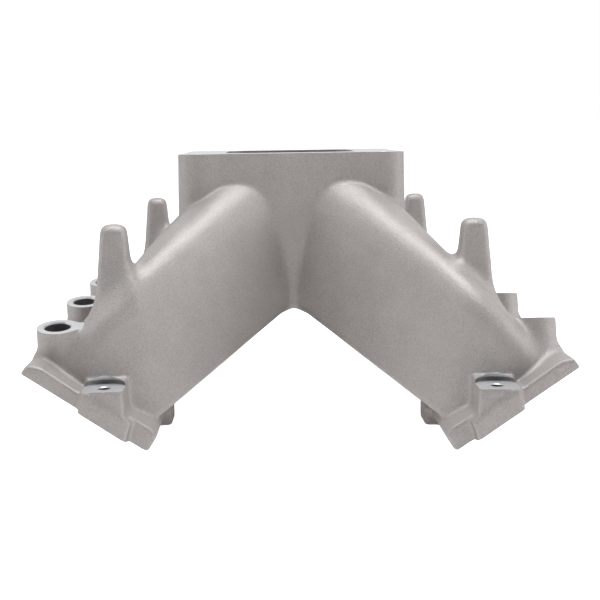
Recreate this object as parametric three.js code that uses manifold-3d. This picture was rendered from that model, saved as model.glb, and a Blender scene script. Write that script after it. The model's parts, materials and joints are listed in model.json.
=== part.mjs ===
// Cast aluminium intake manifold for a ninety-degree V8 with port fuel injection.
// Millimetres, +Z up. X runs across the banks, Y along the crankshaft with the engine's front at -Y.
// The origin is at the bottom centre, level with the lowest edges of the two port flanges.
// The two banks are the same shape turned half a turn about Z, so everything on a bank is drawn once, for +X.

import * as THREE from "three";
import { ConvexGeometry } from "three/addons/geometries/ConvexGeometry.js";
import { mergeVertices } from "three/addons/utils/BufferGeometryUtils.js";
import Module from "manifold-3d";

const wasm = await Module();
wasm.setup();

// ---------- driving dimensions ----------

const GAP = 0.3; // between sections that touch
const HEIGHT = 181.5; // lowest flange edge to throttle face
const BORE_PITCH = 111.76; // cylinder spacing along the engine
const PORTS = 4; // to a bank
const BANK_SHIFT = -7; // how far this bank's ports sit from the middle of the engine

const throttle = {
  halfX: 80,
  halfY: 77.5,
  thick: 14,
  mouthX: 48,
  mouthY: 50,
  mouthRadius: 14,
  studX: 65.6,
  studY: 71.4,
  studBossRadius: 12,
  studHoleRadius: 3.5,
  studHoleDeep: 22,
};

const plenum = {
  wall: 6,
  blockDrop: 41, // where the flange block ends and the chamber starts to narrow
  topHalfX: 79.5,
  lowHalfX: 67, // at the foot of its side walls
  lowDrop: 152.5,
  apexDrop: 109, // the ridge of the open valley under the chamber
  valleySlope: Math.tan((33 * Math.PI) / 180),
};

const face = {
  angle: (34 * Math.PI) / 180, // the mating face from level
  footX: 95.5, // its lowest edge
  wide: 92,
  thick: 11,
  halfLong: 205,
};

const port = { low: 10, high: 72, halfWide: 15, cornerRadius: 7 };

const runner = {
  wall: 5,
  inletWall: 7, // thicker, since the end runners are cut on the skew there
  halfWide: 20,
  chamfer: 5,
  bendTop: { x: 118, drop: 84 },
  middleBendTop: { x: 118, drop: 78 },
  endSpread: 12, // the end runners' roofs widen towards the engine's middle, under the rail posts
  farRise: 8, // and are higher on that side
  bendLow: { x: 92.5, drop: 166.5 },
  endInlet: [
    [20, 21],
    [78.5, 46],
    [67.5, 151],
    [3, 110.5],
  ], // x and drop of the skew mouth on the chamber's end wall
  middleInlet: { y: 32, topDrop: 41.5, lowDrop: 146 },
};

const injector = {
  x: 153.4,
  drop: 106.4,
  ahead: 6.3, // the seat's offset from its port along the engine
  tilt: (11 * Math.PI) / 180,
  radius: 13.25,
  boreRadius: 7,
  mouthRadius: 8.5,
  mouthDeep: 3,
  land: 4, // the mating face stays whole under the bore
};

const bolt = {
  x: 121.6,
  padDrop: 141.5,
  half: 13.5,
  cornerRadius: 6,
  holeRadius: 4,
  endReach: 199.5, // from the bank's middle to its end bolts
};

const post = {
  x: 117.3,
  drop: 42.4,
  frontY: -148,
  rearY: 152.5,
  topHalf: 8,
  footHalf: 11.5,
  shoulder: 3,
  footDrop: 94,
  screwDrop: 53,
  screwRadius: 2.6,
};

const lug = { insideX: 85, outsideX: 101, high: 14, halfWide: 13, apart: 130 };

const CAST = { color: 0xb4b0ab, roughness: 0.6, metalness: 0.9 };
const MACHINED = { color: 0xc9c8c6, roughness: 0.35, metalness: 1 };

// ---------- geometry helpers ----------

const point = (x, y, z) => new THREE.Vector3(x, y, z);
const below = (drop) => HEIGHT - drop;
const halfTurn = (p) => point(-p.x, -p.y, p.z);

// The bank's own frame: s up along the mating face from its foot, y along the engine, n into the manifold.
const bankFrame = new THREE.Matrix4()
  .makeTranslation(face.footX, 0, 0)
  .multiply(new THREE.Matrix4().makeRotationY(-face.angle));
const onBank = (s, y, n) => point(s, y, n).applyMatrix4(bankFrame);

function solid(geometry, matrix = new THREE.Matrix4()) {
  const shape = geometry.clone().applyMatrix4(matrix);
  shape.deleteAttribute("normal");
  shape.deleteAttribute("uv");
  const merged = mergeVertices(shape, 1e-4);
  return new wasm.Manifold(
    new wasm.Mesh({
      numProp: 3,
      vertProperties: merged.attributes.position.array,
      triVerts: new Uint32Array(merged.index.array),
    }),
  );
}

const hull = (points) => solid(new ConvexGeometry(points));

// Rings of as many points each, skinned from the first to the last and closed at both ends.
function loft(rings) {
  const count = rings[0].length;
  const faces = [];
  for (let i = 1; i < count - 1; i += 1) {
    const last = (rings.length - 1) * count;
    faces.push([0, i + 1, i], [last, last + i, last + i + 1]);
  }
  for (let r = 0; r < rings.length - 1; r += 1) {
    for (let i = 0; i < count; i += 1) {
      const [a, b] = [r * count + i, r * count + ((i + 1) % count)];
      faces.push([a, b, b + count], [a, b + count, a + count]);
    }
  }
  const geometry = new THREE.BufferGeometry().setFromPoints(rings.flat());
  geometry.setIndex(faces.flat());
  const body = solid(geometry);
  if (body.volume() > 0) return body;
  geometry.setIndex(faces.map(([a, b, c]) => [a, c, b]).flat());
  return solid(geometry);
}

function joined(solids) {
  return solids.reduce((sum, next) => sum.add(next));
}

function without(body, cutters) {
  return cutters.reduce((rest, cutter) => rest.subtract(cutter), body);
}

function roundedRectangle(halfX, halfY, radius) {
  const x = halfX - radius;
  const y = halfY - radius;
  const shape = new THREE.Shape();
  shape.absarc(x, y, radius, 0, Math.PI / 2);
  shape.absarc(-x, y, radius, Math.PI / 2, Math.PI);
  shape.absarc(-x, -y, radius, Math.PI, 1.5 * Math.PI);
  shape.absarc(x, -y, radius, 1.5 * Math.PI, 2 * Math.PI);
  return shape;
}

// A flat outline in X and Y raised from one height to another.
function upright(shape, low, high, curveSegments = 3) {
  const settings = { depth: high - low, bevelEnabled: false, curveSegments };
  const lift = new THREE.Matrix4().makeTranslation(0, 0, low);
  return solid(new THREE.ExtrudeGeometry(shape, settings), lift);
}

// An outline in X and Z, or in s and n with the bank's frame, run along Y.
function along(points, yLow, yHigh, frame = new THREE.Matrix4()) {
  const settings = { depth: yHigh - yLow, bevelEnabled: false };
  const outline = points.map(([x, z]) => new THREE.Vector2(x, z));
  const turn = new THREE.Matrix4()
    .makeTranslation(0, yHigh, 0)
    .multiply(new THREE.Matrix4().makeRotationX(Math.PI / 2));
  const geometry = new THREE.ExtrudeGeometry(new THREE.Shape(outline), settings);
  return solid(geometry, frame.clone().multiply(turn));
}

// A round bar from one point to another, as wide at each end as asked.
function bar(from, to, radius, endRadius = radius, sides = 16) {
  const way = to.clone().sub(from);
  const geometry = new THREE.CylinderGeometry(endRadius, radius, way.length(), sides);
  const turn = new THREE.Quaternion().setFromUnitVectors(
    point(0, 1, 0),
    way.clone().normalize(),
  );
  const middle = from.clone().addScaledVector(way, 0.5);
  const place = new THREE.Matrix4().compose(middle, turn, point(1, 1, 1));
  return solid(geometry, place);
}

// Everything of the bank between two levels over its mating face.
function bankSlab(nLow, nHigh) {
  const outline = [
    [-150, nLow],
    [300, nLow],
    [300, nHigh],
    [-150, nHigh],
  ];
  return along(outline, -300, 300, bankFrame);
}

// Four corners moved in by a wall along their own plane, or out by a negative one.
function inset(corners, wall) {
  return corners.map((corner, i) => {
    const next = corners[(i + 1) % 4].clone().sub(corner).normalize();
    const last = corners[(i + 3) % 4].clone().sub(corner).normalize();
    const reach = wall / Math.sin(next.angleTo(last));
    return corner.clone().addScaledVector(next.add(last), reach);
  });
}

// Four corners cut off into eight points.
function chamfered(corners, size) {
  return corners.flatMap((corner, i) => {
    const toNext = corners[(i + 1) % 4].clone().sub(corner).setLength(size);
    const toLast = corners[(i + 3) % 4].clone().sub(corner).setLength(size);
    return [corner.clone().add(toLast), corner.clone().add(toNext)];
  });
}

const shifted = (points, x, y, z) => points.map((p) => p.clone().add(point(x, y, z)));

// ---------- runners ----------

const portY = (index) => BANK_SHIFT + (index - (PORTS - 1) / 2) * BORE_PITCH;

// The runner's mouth on the chamber, its bend and its end on the port flange, each as four corners.
function runnerStations(index) {
  const y = portY(index);
  const end = index === 0 ? -1 : index === PORTS - 1 ? 1 : 0;
  const top = end ? runner.bendTop : runner.middleBendTop;
  const low = runner.bendLow;
  const near = y + (end || -1) * runner.halfWide;
  const far = y - (end || -1) * runner.halfWide;
  const farBend = far - end * runner.endSpread;
  const bend = [
    point(top.x, near, below(top.drop)),
    point(top.x, farBend, below(top.drop - (end ? runner.farRise : 0))),
    point(low.x, farBend, below(low.drop)),
    point(low.x, near, below(low.drop)),
  ];
  const lift = face.thick + GAP;
  const reach = runner.wall;
  const foot = [
    onBank(port.high + reach, near, lift),
    onBank(port.high + reach, far, lift),
    onBank(port.low - reach, far, lift),
    onBank(port.low - reach, near, lift),
  ];
  return { mouth: end ? endMouth(end) : middleMouth(y), bend, foot, end };
}

function endMouth(end) {
  const y = end * (throttle.halfY + GAP);
  return runner.endInlet.map(([x, drop]) => point(x, y, below(drop)));
}

// The chamber's side wall leans in towards its foot.
function sideX(drop) {
  const share = (drop - plenum.blockDrop) / (plenum.lowDrop - plenum.blockDrop);
  return THREE.MathUtils.lerp(plenum.topHalfX, plenum.lowHalfX, share);
}

function middleMouth(y) {
  const { y: offset, topDrop, lowDrop } = runner.middleInlet;
  const centre = Math.sign(y) * offset;
  const corner = (side, drop) =>
    point(sideX(drop) + 1.2 * GAP, centre + side * runner.halfWide, below(drop));
  return [corner(-1, topDrop), corner(1, topDrop), corner(1, lowDrop), corner(-1, lowDrop)];
}

// The runner's outside as a full body.
function runnerBody(index) {
  const { mouth, bend, foot } = runnerStations(index);
  return loft([mouth, bend, foot].map((corners) => chamfered(corners, runner.chamfer)));
}

// The space that a runner's neighbours stay out of: its body grown by the gap, and run on through the flange.
function runnerSpace(index, turned = false) {
  const { mouth, bend, foot } = runnerStations(index);
  const grown = [mouth, bend, foot].map((corners) =>
    chamfered(inset(corners, -GAP), runner.chamfer),
  );
  const onward = onBank(0, 0, -face.thick).sub(onBank(0, 0, 0)).toArray();
  const rings = [...grown, shifted(grown[2], ...onward)];
  return loft(turned ? rings.map((ring) => ring.map(halfTurn)) : rings);
}

function runnerCoreRings(index) {
  const { mouth, bend, foot, end } = runnerStations(index);
  const ring = (corners, wall) => chamfered(inset(corners, wall), runner.chamfer);
  return {
    mouth: ring(mouth, runner.inletWall),
    bend: ring(bend, runner.wall),
    foot: ring(foot, runner.wall),
    inward: end ? point(0, -end, 0) : point(-1, 0, 0),
  };
}

// The passage, run a little past both ends of the runner.
function runnerCore(index) {
  const { mouth, bend, foot, inward } = runnerCoreRings(index);
  const out = onBank(0, 0, 0).sub(onBank(0, 0, 1)).toArray();
  return loft([shifted(mouth, ...inward.toArray()), mouth, bend, foot, shifted(foot, ...out)]);
}

// What a runner's mouth cuts out of the chamber's wall.
function windowCutter(index, turned) {
  const rings = runnerCoreRings(index);
  const through = rings.inward.clone().multiplyScalar(plenum.wall + 2);
  const points = [...shifted(rings.mouth, ...through.toArray()), ...rings.mouth];
  return hull(turned ? points.map(halfTurn) : points);
}

// ---------- injector seats ----------

function injectorAxis(index) {
  const top = point(injector.x, portY(index) + injector.ahead, below(injector.drop));
  const up = point(0, Math.sin(injector.tilt), Math.cos(injector.tilt));
  return { top, up, at: (depth) => top.clone().addScaledVector(up, -depth) };
}

function injectorBore(index) {
  const { at } = injectorAxis(index);
  return bar(at(50), at(-5), injector.boreRadius);
}

function injectorBoss(index) {
  const { at } = injectorAxis(index);
  const outside = bar(at(50), at(0), injector.radius + 1, injector.radius, 24);
  const mouth = bar(at(injector.mouthDeep), at(-1), injector.boreRadius - 1, injector.mouthRadius);
  return without(outside, [
    bankSlab(-200, face.thick + GAP),
    runnerSpace(index),
    injectorBore(index),
    mouth,
  ]);
}

// ---------- bolt bosses, rail posts and lugs ----------

function boltRows() {
  const between = Array.from({ length: PORTS - 1 }, (_, i) => BANK_SHIFT + (i - 1) * BORE_PITCH);
  return [BANK_SHIFT - bolt.endReach, ...between, BANK_SHIFT + bolt.endReach];
}

function boltColumn(y) {
  const outline = roundedRectangle(bolt.half, bolt.half, bolt.cornerRadius);
  const column = new THREE.ExtrudeGeometry(outline, {
    depth: below(bolt.padDrop),
    bevelEnabled: false,
    curveSegments: 3,
  });
  return solid(column, new THREE.Matrix4().makeTranslation(bolt.x, y, 0));
}

const boltHole = (y) => bar(point(bolt.x, y, -5), point(bolt.x, y, HEIGHT), bolt.holeRadius);

function boltBoss(y) {
  const nearest = y < BANK_SHIFT ? 0 : PORTS - 1;
  return without(boltColumn(y), [
    bankSlab(-200, face.thick + GAP),
    runnerSpace(nearest),
    boltHole(y),
  ]);
}

function postLevel(y, half, drop) {
  const z = below(drop);
  const corners = [
    point(post.x - half, y - half, z),
    point(post.x + half, y - half, z),
    point(post.x + half, y + half, z),
    point(post.x - half, y + half, z),
  ];
  return chamfered(corners, half * 0.45);
}

function railPost(y) {
  const blade = hull([
    ...postLevel(y, post.topHalf - post.shoulder, post.drop),
    ...postLevel(y, post.topHalf, post.drop + post.shoulder),
    ...postLevel(y, post.footHalf, post.footDrop),
  ]);
  const z = below(post.screwDrop);
  const screw = bar(point(post.x - 30, y, z), point(post.x + 2, y, z), post.screwRadius);
  const nearest = y < 0 ? 0 : PORTS - 1;
  return without(blade, [runnerSpace(nearest), screw]);
}

function valleyLug(y) {
  const outline = [
    [lug.insideX, 0],
    [lug.outsideX, 0],
    [lug.outsideX, lug.high],
    [lug.insideX, lug.high],
  ];
  return along(outline, y - lug.halfWide, y + lug.halfWide);
}

// ---------- port flange ----------

function portWindow(index) {
  const halfHigh = (port.high - port.low) / 2;
  const outline = roundedRectangle(halfHigh, port.halfWide, port.cornerRadius);
  const settings = { depth: face.thick + 4, bevelEnabled: false, curveSegments: 3 };
  const place = new THREE.Matrix4().makeTranslation(port.low + halfHigh, portY(index), -2);
  return solid(new THREE.ExtrudeGeometry(outline, settings), bankFrame.clone().multiply(place));
}

function portFlange() {
  const outline = [
    [0, 0],
    [face.wide, 0],
    [face.wide - 1, 6],
    [face.wide - 6, face.thick],
    [3, face.thick],
    [0, 7],
  ];
  const ends = [BANK_SHIFT - face.halfLong, BANK_SHIFT + face.halfLong];
  const strip = along(outline, ...ends, bankFrame);
  const slab = bankSlab(0, face.thick);
  const rows = boltRows();
  const ears = [rows[0], rows[PORTS]].map((y) => boltColumn(y).intersect(slab));
  const lugRows = [-1, 0, 1].map((step) => BANK_SHIFT + step * lug.apart);
  const lugs = lugRows.map((y) => valleyLug(y).subtract(bankSlab(-200, 0)));
  const indices = [...Array(PORTS).keys()];
  const bores = indices.map((i) => injectorBore(i).subtract(bankSlab(-200, injector.land)));
  return without(joined([strip, ...ears, ...lugs]), [
    ...indices.map(portWindow),
    ...rows.map(boltHole),
    ...bores,
  ]);
}

// ---------- throttle flange and plenum ----------

const studs = [1, -1].flatMap((x) => [1, -1].map((y) => [x * throttle.studX, y * throttle.studY]));

function studColumns(radius, low, high) {
  return studs.map(([x, y]) => bar(point(x, y, low), point(x, y, high), radius, radius, 24));
}

function throttleFlange() {
  const low = HEIGHT - throttle.thick;
  const outline = roundedRectangle(throttle.halfX, throttle.halfY, 16);
  const mouth = roundedRectangle(throttle.mouthX, throttle.mouthY, throttle.mouthRadius);
  const body = [upright(outline, low, HEIGHT), ...studColumns(throttle.studBossRadius, low, HEIGHT)];
  return without(joined(body), [
    upright(mouth, low - 5, HEIGHT + 5),
    ...studColumns(throttle.studHoleRadius, low - 5, HEIGHT + 5),
  ]);
}

// The chamber's section: leaning sides over a roof-shaped floor that follows the open valley.
function chamberSection(wall, top) {
  const low = plenum.lowHalfX - wall;
  const high = plenum.topHalfX - wall;
  const floor = (x) => below(plenum.apexDrop + plenum.valleySlope * x) + wall * 1.2;
  return [
    [0, floor(0)],
    [low, floor(low)],
    [high, below(plenum.blockDrop)],
    [high, top],
    [-high, top],
    [-high, below(plenum.blockDrop)],
    [-low, floor(low)],
  ];
}

function plenumChamber() {
  const top = HEIGHT - throttle.thick - GAP;
  const shoulder = below(plenum.blockDrop);
  const block = upright(roundedRectangle(throttle.halfX, throttle.halfY, 16), shoulder, top);
  const shell = along(chamberSection(0, shoulder + 1), -throttle.halfY, throttle.halfY);
  const innerY = throttle.halfY - plenum.wall;
  const hollow = along(chamberSection(plenum.wall, shoulder), -innerY, innerY);
  const neck = upright(roundedRectangle(56, 58, 16), shoulder - 2, top + 5);
  const ends = [0, PORTS - 1].flatMap((i) => [runnerSpace(i), runnerSpace(i, true)]);
  const columns = studColumns(throttle.studBossRadius, shoulder, top);
  const holeLow = HEIGHT - throttle.studHoleDeep;
  const windows = [...Array(PORTS).keys()].flatMap((i) => [
    windowCutter(i, false),
    windowCutter(i, true),
  ]);
  return without(joined([block, shell, without(joined(columns), ends)]), [
    hollow,
    neck,
    ...windows,
    ...studColumns(throttle.studHoleRadius, holeLow, top + 5),
  ]);
}

// ---------- assembly ----------

function part(name, body, look) {
  const { vertProperties, triVerts } = body.getMesh();
  const geometry = new THREE.BufferGeometry();
  geometry.setAttribute("position", new THREE.BufferAttribute(vertProperties, 3));
  geometry.setIndex(new THREE.BufferAttribute(triVerts, 1));
  geometry.computeVertexNormals();
  const mesh = new THREE.Mesh(geometry, new THREE.MeshStandardMaterial(look));
  mesh.name = name;
  return mesh;
}

// One bank, numbered from the engine's front on either side.
function bank(side) {
  const group = new THREE.Group();
  const turned = side === "left";
  group.rotation.z = turned ? Math.PI : 0;
  const number = (index, count) => (turned ? count - index : index + 1);
  group.add(part(`port_flange_${side}`, portFlange(), MACHINED));
  for (let i = 0; i < PORTS; i += 1) {
    const tag = `${side}_${number(i, PORTS)}`;
    const tube = runnerBody(i).subtract(runnerCore(i)).subtract(injectorBore(i));
    group.add(part(`runner_${tag}`, tube, CAST));
    group.add(part(`injector_boss_${tag}`, injectorBoss(i), CAST));
  }
  boltRows().forEach((y, i) => {
    group.add(part(`bolt_boss_${side}_${number(i, PORTS + 1)}`, boltBoss(y), CAST));
  });
  const [first, second] = turned ? ["rear", "front"] : ["front", "rear"];
  group.add(part(`rail_post_${side}_${first}`, railPost(post.frontY), CAST));
  group.add(part(`rail_post_${side}_${second}`, railPost(post.rearY), CAST));
  return group;
}

const manifold = new THREE.Group();
manifold.add(part("throttle_flange", throttleFlange(), MACHINED));
manifold.add(part("plenum_chamber", plenumChamber(), CAST));
manifold.add(bank("right"), bank("left"));

export default manifold;
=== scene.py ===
"""Looks of a cast aluminium V8 intake manifold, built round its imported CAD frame.

The casting is worked out as one signed distance field, the way a pattern maker blends its parts with fillets.
It is then skinned, machined with exact tools, and parted along flat planes into its named sections.
Lengths inside the shape code are millimetres, and meshes are handed over in metres.
"""

import json
import logging
import math
from dataclasses import dataclass
from enum import Enum
from typing import Callable, Sequence

import bmesh
import bpy
import numpy as np
import openvdb
from mathutils import Matrix, Vector

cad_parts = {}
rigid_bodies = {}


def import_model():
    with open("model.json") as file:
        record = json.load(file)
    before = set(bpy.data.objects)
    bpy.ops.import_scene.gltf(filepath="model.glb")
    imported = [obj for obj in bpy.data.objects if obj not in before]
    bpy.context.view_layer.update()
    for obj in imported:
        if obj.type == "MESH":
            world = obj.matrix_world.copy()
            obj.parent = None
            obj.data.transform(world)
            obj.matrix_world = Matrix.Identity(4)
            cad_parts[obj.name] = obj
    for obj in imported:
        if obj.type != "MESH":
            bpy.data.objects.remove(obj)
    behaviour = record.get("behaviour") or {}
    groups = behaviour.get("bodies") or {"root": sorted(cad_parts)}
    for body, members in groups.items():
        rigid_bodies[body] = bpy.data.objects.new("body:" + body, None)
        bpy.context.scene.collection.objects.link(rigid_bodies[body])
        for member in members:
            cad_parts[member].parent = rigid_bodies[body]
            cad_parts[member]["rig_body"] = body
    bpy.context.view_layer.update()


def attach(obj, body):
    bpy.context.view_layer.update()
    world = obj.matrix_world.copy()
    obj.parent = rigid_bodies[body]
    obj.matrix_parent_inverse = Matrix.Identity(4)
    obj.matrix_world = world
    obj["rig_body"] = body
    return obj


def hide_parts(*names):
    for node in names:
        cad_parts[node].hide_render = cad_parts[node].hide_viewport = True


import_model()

log = logging.getLogger("intake_manifold")

# ---------- driving sizes, in millimetres ----------

HEIGHT = 181.5  # lowest flange edge to throttle face
BORE_PITCH = 111.76
PORTS = 4
BANK_SHIFT = -7.0  # how far the right bank's ports sit from the middle of the engine
STEP = 1.5  # spacing of the field's grid
GRID = (177.0, 225.0, -6.0, 187.5)  # the grid's half width and half length, its lowest and highest level
FAR = 900.0  # what the field says where there is no metal near
STOCK = 3.0  # metal left on a face for machining
MM = 0.001
LAST_PLACE = 260.0  # past the object in every direction
STRIPES = math.tau / 20  # from stripe to stripe of a wave texture at scale 1

Array = np.ndarray
Point = tuple[float, float, float]
Socket = bpy.types.NodeSocket


class Slot(Enum):
    """Material slots of the record."""

    CAST = "cast_aluminium"
    MACHINED = "machined_aluminium"


def port_y(index: int) -> float:
    """Where a port of the right bank lies along the engine."""
    return BANK_SHIFT + (index - (PORTS - 1) / 2) * BORE_PITCH


def soft_min(a: Array, b: Array, blend: float) -> Array:
    """The smaller of two distances, with a fillet.

    Args:
        a: First distance.
        b: Second distance.
        blend: How wide the fillet is, in millimetres.

    Returns:
        The blended distance.
    """
    share = np.maximum(blend - np.abs(a - b), 0) / blend
    return np.minimum(a, b) - share * share * (blend * 0.25)


def soft_max(a: Array, b: Array, blend: float) -> Array:
    """The larger of two distances, with a rounded edge."""
    return -soft_min(-a, -b, blend)


def hypot(*parts: Array) -> Array:
    """Length of a vector given by its parts."""
    return np.sqrt(sum(part * part for part in parts))


def round_rectangle(a: Array, b: Array, half_a: float, half_b: float, radius: float) -> Array:
    """Distance to a rectangle with round corners about the origin of a and b."""
    qa = np.abs(a) - (half_a - radius)
    qb = np.abs(b) - (half_b - radius)
    outside = hypot(np.maximum(qa, 0), np.maximum(qb, 0))
    return outside + np.minimum(np.maximum(qa, qb), 0) - radius


# ---------- the mating face's own directions ----------


@dataclass(frozen=True)
class MatingFace:
    """The sloping face that meets the cylinder head, and its own directions s and n."""

    angle: float = math.radians(34)
    foot_x: float = 95.5
    wide: float = 92.0
    thick: float = 11.0
    half_long: float = 205.0

    def s(self, x: Array, z: Array) -> Array:
        """How far up the face from its lowest edge."""
        return (x - self.foot_x) * math.cos(self.angle) + z * math.sin(self.angle)

    def n(self, x: Array, z: Array) -> Array:
        """How far into the manifold from the face."""
        return z * math.cos(self.angle) - (x - self.foot_x) * math.sin(self.angle)

    def point(self, s: float, y: float, n: float) -> Vector:
        """A place given by s, y and n."""
        c, q = math.cos(self.angle), math.sin(self.angle)
        return Vector((self.foot_x + s * c - n * q, y, s * q + n * c))


FACE = MatingFace()


# ---------- the distance field ----------


class Field:
    """Distance to the casting's skin on a regular grid, negative inside the metal."""

    def __init__(self, half_x: float, half_y: float, low_z: float, high_z: float) -> None:
        """Sets up an empty field, the same on either side of the engine's middle."""
        nx, ny = (int(round(v / STEP)) for v in (half_x, half_y))
        nz = int(round((high_z - low_z) / STEP))
        self.low = (-nx * STEP, -ny * STEP, low_z)
        counts = (2 * nx + 1, 2 * ny + 1, nz + 1)
        self.axes = [lo + STEP * np.arange(n, dtype=np.float32) for lo, n in zip(self.low, counts)]
        self.values = np.full(counts, FAR, np.float32)

    def window(self, low: Point, high: Point) -> tuple[tuple[slice, ...], list[Array]]:
        """The grid nodes inside a box, and their coordinates ready to broadcast."""
        cuts, coordinates = [], []
        for axis, (values, lo, hi) in enumerate(zip(self.axes, low, high)):
            a, b = np.searchsorted(values, (lo, hi))
            cuts.append(slice(int(a), int(b)))
            shape = [1, 1, 1]
            shape[axis] = -1
            coordinates.append(values[cuts[-1]].reshape(shape))
        return tuple(cuts), coordinates

    def put(self, low: Point, high: Point, distance: Callable[..., Array], blend: float) -> None:
        """Joins a shape to the metal with a fillet."""
        cut, xyz = self.window(low, high)
        self.values[cut] = soft_min(self.values[cut], distance(*xyz), blend)

    def take(self, other: "Field", edge: float) -> None:
        """Hollows the metal out with another field, leaving a small round on the edges."""
        self.values = soft_max(self.values, -other.values, edge)

    def with_half_turn(self, blend: float) -> None:
        """Joins the field to itself turned half a turn about the upright axis."""
        self.values = soft_min(self.values, self.values[::-1, ::-1, :], blend)

    def slope(self, points: Array) -> Array:
        """Unit outward directions at points, in millimetres, from the field's slope."""
        grid = (points - np.array(self.low)) / STEP
        limit = np.array(self.values.shape) - 3
        base = np.clip(np.floor(grid).astype(int), 1, limit)
        part = grid - base
        total = np.zeros((len(points), 3))
        for corner in range(8):
            bit = np.array([corner & 1, corner >> 1 & 1, corner >> 2 & 1])
            weight = np.prod(np.where(bit, part, 1 - part), axis=1)
            i, j, k = (base + bit).T
            v = self.values
            rise = np.stack(
                [
                    v[i + 1, j, k] - v[i - 1, j, k],
                    v[i, j + 1, k] - v[i, j - 1, k],
                    v[i, j, k + 1] - v[i, j, k - 1],
                ],
                axis=1,
            )
            total += weight[:, None] * rise
        length = np.linalg.norm(total, axis=1, keepdims=True)
        return total / np.maximum(length, 1e-9)

    def skin(self, low: Point, high: Point) -> tuple[Array, Array]:
        """Skins the part of the field inside a box, closing it at the box's walls.

        Args:
            low: Lowest corner.
            high: Highest corner.

        Returns:
            Points in millimetres and faces of four points each.
        """
        cut, _ = self.window(low, high)
        block = np.pad(self.values[cut], 1, constant_values=1.0)
        block[[0, -1]] = 1.0
        grid = openvdb.FloatGrid(background=FAR)
        grid.copyFromArray(np.ascontiguousarray(block, dtype=np.float32))
        points, triangles, quads = grid.convertToPolygons(isovalue=0.0, adaptivity=0.0)
        start = np.array([axis[c.start] - STEP for axis, c in zip(self.axes, cut)])
        assert len(triangles) == 0
        return points * STEP + start, quads


# ---------- the casting's parts ----------


@dataclass(frozen=True)
class Plenum:
    """The chamber under the throttle flange, with its open top and roof-shaped floor."""

    half_x: float = 80.0
    draft: float = 0.03
    half_y: float = 79.5
    corner: float = 14.0
    flange_thick: float = 14.0
    block_drop: float = 46.0
    low_half_x: float = 67.0
    low_drop: float = 152.5
    apex_drop: float = 109.0
    slope: float = 0.649
    apex_round: float = 2.5
    wall: float = 6.0
    end_draft: float = 0.006
    stud_x: float = 65.6
    stud_y: float = 71.4
    stud_boss: float = 11.5
    stud_end: float = 10.0
    neck: tuple[float, float, float] = (56.0, 58.0, 16.0)
    neck_low: float = 70.0
    mouth: tuple[float, float, float] = (48.0, 50.0, 14.0)
    mouth_low: float = 40.0
    inner_corner: float = 12.0
    fillet: float = 8.0
    edge: float = 3.0

    def floor(self, x: Array, z: Array) -> Array:
        """Distance below the roof-shaped underside that spans the valley."""
        spread = hypot(x, self.apex_round * np.ones_like(x)) - self.apex_round
        return (HEIGHT - z - self.apex_drop - self.slope * spread) / math.hypot(1, self.slope)

    def sides(self, x: Array, z: Array) -> Array:
        """Distance outside the leaning side walls."""
        widest = self.half_x + self.draft * self.block_drop
        lean = (widest - self.low_half_x) / (self.low_drop - self.block_drop)
        drop = HEIGHT - z - self.block_drop
        level = widest + self.draft * np.minimum(drop, 0) - lean * np.maximum(drop, 0)
        return (np.abs(x) - level) / math.hypot(1, lean)

    def body(self, x: Array, y: Array, z: Array) -> Array:
        """The outside of the block and the chamber."""
        grow = self.end_draft * (HEIGHT - z)
        ends = np.abs(y) - self.half_y + grow
        walls = soft_max(self.sides(x, z), ends + 0 * x, self.corner)
        shoulder = HEIGHT - self.block_drop - z
        columns = self.columns(x, y) + grow
        columns = soft_max(columns, (shoulder - self.stud_end) * 0.8, self.stud_end)
        shell = soft_min(walls, columns, self.fillet)
        capped = soft_max(shell, self.floor(x, z), self.edge)
        return np.maximum(capped, z - HEIGHT - STOCK)

    def columns(self, x: Array, y: Array) -> Array:
        """The four round columns for the throttle studs."""
        return hypot(np.abs(x) - self.stud_x, np.abs(y) - self.stud_y) - self.stud_boss

    def hollow(self, x: Array, y: Array, z: Array) -> Array:
        """The chamber's inside, its neck and the throttle's mouth."""
        ends = np.abs(y) - self.half_y + self.wall + 0 * x
        walls = soft_max(self.sides(x, z) + self.wall, ends, self.inner_corner)
        chamber = soft_max(walls, self.floor(x, z) + self.wall * 1.15, self.fillet)
        chamber = soft_max(chamber, z - (HEIGHT - self.block_drop + 3), self.fillet)
        neck = round_rectangle(x, y, *self.neck) + 0 * z
        neck = soft_max(neck, z - (HEIGHT - self.flange_thick), self.edge)
        neck = soft_max(neck, HEIGHT - self.neck_low - z, self.edge)
        mouth = round_rectangle(x, y, *self.mouth) + 0 * z
        mouth = soft_max(mouth, HEIGHT - self.mouth_low - z, self.edge)
        return soft_min(soft_min(chamber, neck, self.fillet), mouth, self.edge)


PLENUM = Plenum()


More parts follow.
